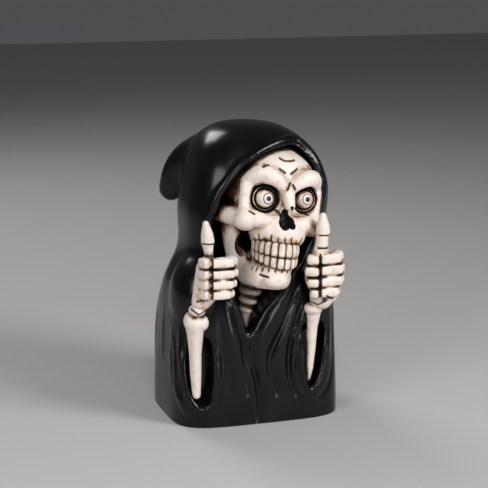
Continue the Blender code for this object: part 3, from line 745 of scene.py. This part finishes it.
# Arms and fists: two forearm bones that rise from the sleeve mouths, each with a closed fist and a raised
# thumb. They are cast with the body and painted as the skull is. In the script's own names left and right
# are as seen from the front, and the pieces are named for the figure's own arms.
arm_voxel = 0.32


def turned_at(spot, angle):
    return Matrix.Translation(spot) @ Matrix.Rotation(angle, 4, "Z")


left_bm = bmesh.new()
for k, z in enumerate((69.4, 65.0, 60.8, 56.8)):
    short = (0.0, -0.3, 0.3, 1.2)[k]
    tall = (2.0, 1.9, 1.85, 1.8)[k]
    bead(left_bm, turned_at((-26.3, -32.8, z), 0.4), (2.2, 2.4, tall), 0.5)
    bead(left_bm, Matrix.Translation((-20.1 - short / 2, -34.5, z)), (4.6 - short / 2, 2.1, tall * 0.96), 0.5)
    bead(left_bm, turned_at((-15.6 - short, -32.0, z), 0.2), (1.7, 2.7, tall * 0.93), 0.6)
blob(left_bm, (-21.2, -30.6, 63.0), (5.4, 3.4, 7.6))
sweep(left_bm, [(-26.6, -29.8, 67.0), (-27.2, -29.6, 60.0), (-28.0, -29.0, 52.6)], [2.6, 3.0, 3.0])
sweep(left_bm, [(-23.6, -32.4, 56.6), (-26.0, -30.0, 52.6)], [2.6, 2.4])
sweep(left_bm, [(-24.6, -32.0, 69.0), (-24.9, -32.2, 73.0), (-25.3, -32.6, 76.6)], [1.9, 1.7, 2.3])
sweep(left_bm, [(-25.4, -32.8, 77.8), (-25.8, -33.2, 81.0), (-26.4, -33.6, 85.0)], [2.7, 2.4, 1.3])
blob(left_bm, (-28.6, -28.4, 49.6), (3.4, 3.4, 2.6))
blob(left_bm, (-31.0, -27.0, 45.0), (2.7, 3.0, 3.8))
blob(left_bm, (-26.6, -27.2, 44.0), (3.0, 3.2, 3.4))
forearm = [
    (-29.0, -26.6, 44.0), (-28.8, -26.0, 39.0), (-28.6, -25.4, 31.0), (-28.3, -24.8, 22.0),
    (-28.0, -24.4, 13.6),
]
sweep(left_bm, forearm, [4.2, 3.3, 2.5, 2.3, 1.8])
left_arm = as_object(left_bm, "right_arm_bones")
fuse(left_arm, arm_voxel)
relax(left_arm, 1)

right_bm = bmesh.new()
for k, z in enumerate((68.0, 63.4, 58.8, 54.4)):
    knuckle = (29.2, 29.8, 29.6, 28.0)[k]
    inner = (16.2, 15.4, 16.4, 17.6)[k]
    tall = (2.1, 2.05, 2.0, 1.95)[k]
    halves = ((knuckle - 20.4) / 2 + 0.2, 2.1, tall)
    bead(right_bm, turned_at(((20.4 + knuckle) / 2, -34.4, z + 0.2), 0.16), halves, 0.5)
    bead(right_bm, turned_at((knuckle + 0.1, -31.6, z + 0.3), -0.15), (1.8, 2.7, tall * 1.02), 0.6)
    halves = ((20.0 - inner) / 2 + 0.5, 2.1, tall * 0.95)
    bead(right_bm, turned_at(((20.0 + inner) / 2, -33.6, z - 0.2), -0.45), halves, 0.6)
blob(right_bm, (22.4, -30.0, 61.0), (6.6, 3.2, 8.4))
sweep(right_bm, [(26.4, -31.0, 53.0), (23.6, -29.8, 49.4)], [3.4, 3.2])
sweep(right_bm, [(20.6, -31.6, 53.6), (21.4, -29.6, 49.8)], [3.2, 3.0])
sweep(right_bm, [(21.6, -32.6, 69.6), (21.8, -32.6, 73.2), (22.0, -32.8, 76.6)], [3.6, 2.7, 2.5])
sweep(right_bm, [(22.2, -33.0, 78.8), (22.1, -33.2, 81.4), (21.9, -33.4, 85.2)], [2.9, 2.6, 1.5])
blob(right_bm, (20.4, -27.8, 46.6), (4.0, 3.4, 3.0))
forearm = [
    (20.6, -27.0, 45.0), (20.4, -26.2, 38.0), (20.4, -25.4, 29.0), (19.8, -24.8, 21.0), (19.0, -24.4, 15.4),
]
sweep(right_bm, forearm, [3.2, 2.3, 1.9, 1.8, 1.4])
right_arm = as_object(right_bm, "left_arm_bones")
fuse(right_arm, arm_voxel)
relax(right_arm, 1)
# joint and wrist lines, x and z
left_lines = (
    ((-27.8, 77.3), (-23.0, 77.0)), ((-24.6, 55.4), (-24.5, 71.4)),
    ((-31.4, 50.6), (-28.8, 48.4), (-25.8, 49.8)), ((-27.8, 72.2), (-22.6, 72.0)),
    ((-29.6, 53.8), (-26.2, 55.0)),
)
right_lines = (
    ((20.2, 77.6), (25.2, 77.6)), ((20.2, 53.0), (20.1, 70.2)), ((17.8, 50.2), (20.6, 48.8), (23.8, 50.8)),
    ((19.6, 72.6), (25.0, 72.4)), ((22.6, 53.4), (26.4, 51.4)),
)
arm_ink = {}
for obj, lines in ((left_arm, left_lines), (right_arm, right_lines)):
    spots, outs = points_of(obj), normals_of(obj)
    arm_ink[obj] = np.zeros(len(spots))
    for line in lines:
        gap, where = off_line(spots[:, 0], spots[:, 2], line)
        mark = np.clip(-outs[:, 1] * 3, 0, 1) * np.exp(-((gap / 0.24) ** 2))
        arm_ink[obj] = np.maximum(arm_ink[obj], mark)
    put_points(obj, spots - outs * (arm_ink[obj] * 0.5)[:, None])
    finish_piece(obj, bone)


# Wash and painted shade: thin dark paint brushed over the ivory stays where the surface is hemmed in, and the
# same count paints shade where the hood, the robe and the fists close round the bones. How many rays hit
# something near each point is stored on the meshes for the ivory paint to read.
def hemmed_in(obj, tree, reach, rays=12):
    spots, outs = points_of(obj), normals_of(obj)
    directions = []
    for k in range(rays):
        rise = 1 - (k + 0.5) / rays * 0.92
        spin = k * 2.399963
        flat = math.sqrt(1 - rise * rise)
        directions.append((flat * math.cos(spin), flat * math.sin(spin), rise))
    shade = np.zeros(len(spots), np.float32)
    for i, (spot, out) in enumerate(zip(spots, outs)):
        up = Vector(out)
        side = up.orthogonal().normalized()
        other = up.cross(side)
        start = Vector(spot) + up * 0.08
        total = 0.0
        for a, b, c in directions:
            hit = tree.ray_cast(start, side * a + other * b + up * c, reach)
            if hit[3] is not None:
                total += 1 - 0.6 * hit[3] / reach
        shade[i] = total / rays
    return shade


def store(obj, name, values):
    layer = obj.data.attributes.new(name, "FLOAT", "POINT")
    layer.data.foreach_set("value", np.asarray(values, np.float32))


bones = (skull, teeth, neck, left_arm, right_arm, eyes)
tree_points, tree_faces, offset = [], [], 0
for obj in bones + (robe,):
    spots = points_of(obj)
    tree_points.extend(map(tuple, spots))
    for face in obj.data.polygons:
        tree_faces.append([offset + index for index in face.vertices])
    offset += len(spots)
tree = BVHTree.FromPolygons(tree_points, tree_faces)
for obj in bones:
    # the short reach finds the crevices that hold the wash; the long reach, with the robe and hood in the
    # tree, is painted shade
    shade = np.maximum(hemmed_in(obj, tree, 2.8) * 1.3, (hemmed_in(obj, tree, 11.0) - 0.3) * 1.15)
    if obj is neck:
        # the neck keeps less of the long reach's painted shade
        shade = np.maximum(hemmed_in(obj, tree, 2.0) * 1.3, (shade - 0.3) * 0.8)
    if obj is skull:
        shade = np.maximum(shade, skull_ink * 0.9)
    if obj is teeth:
        # the teeth take a little more wash and painted shade all over
        shade = shade + 0.05
    if obj in arm_ink:
        shade = np.maximum(shade, arm_ink[obj] * 0.9)
    if obj is eyes:
        store(obj, "off_gaze", off_gaze)
    store(obj, "wash_and_shade", shade)
for obj in bones + (robe,):
    mesh_bm = bmesh.new()
    mesh_bm.from_mesh(obj.data)
    if obj is robe:
        everything = mesh_bm.verts[:] + mesh_bm.edges[:] + mesh_bm.faces[:]
        bmesh.ops.bisect_plane(
            mesh_bm, geom=everything, dist=1e-5, plane_co=(0, 0, 0), plane_no=(0, 0, -1), clear_outer=True
        )
        bmesh.ops.contextual_create(mesh_bm, geom=[edge for edge in mesh_bm.edges if edge.is_boundary])
    bmesh.ops.scale(mesh_bm, vec=(to_metres, to_metres, to_metres), verts=mesh_bm.verts[:])
    mesh_bm.to_mesh(obj.data)
    mesh_bm.free()
    obj.data.shade_smooth()

# Setting: a plain pale floor, five soft studio lamps and a dim grey world. None of it belongs to the
# casting.
floor_bm = bmesh.new()
bmesh.ops.create_grid(floor_bm, x_segments=1, y_segments=1, size=2.0)
floor = as_object(floor_bm, "floor")
floor_material, _, _, floor_shader = shader_of("pale_floor")
floor_shader.inputs["Base Color"].default_value = (0.5, 0.49, 0.48, 1.0)
floor_shader.inputs["Roughness"].default_value = 0.7
floor.data.materials.append(floor_material)
for name, place, size, power in (
    ("key_light", (0.36, -0.46, 0.42), 0.22, 3.4), ("fill_light", (-0.5, -0.42, 0.3), 0.3, 1.6),
    ("front_light", (-0.16, -0.62, 0.5), 0.2, 1.2), ("low_light", (0.12, -0.62, 0.05), 0.14, 0.5),
    ("back_light", (-0.2, 0.55, 0.6), 0.3, 2.0),
):
    light = bpy.data.lights.new(name, "AREA")
    light.size = size
    light.energy = power
    lamp = bpy.data.objects.new(name, light)
    scene.collection.objects.link(lamp)
    lamp.location = place
    lamp.rotation_euler = (Vector((0, 0, 0.06)) - Vector(place)).to_track_quat("-Z", "Y").to_euler()
world = bpy.data.worlds.new("studio")
world.use_nodes = True
world.node_tree.nodes["Background"].inputs["Color"].default_value = (0.85, 0.86, 0.9, 1.0)
world.node_tree.nodes["Background"].inputs["Strength"].default_value = 0.09
scene.view_settings.view_transform = "Standard"
scene.world = world
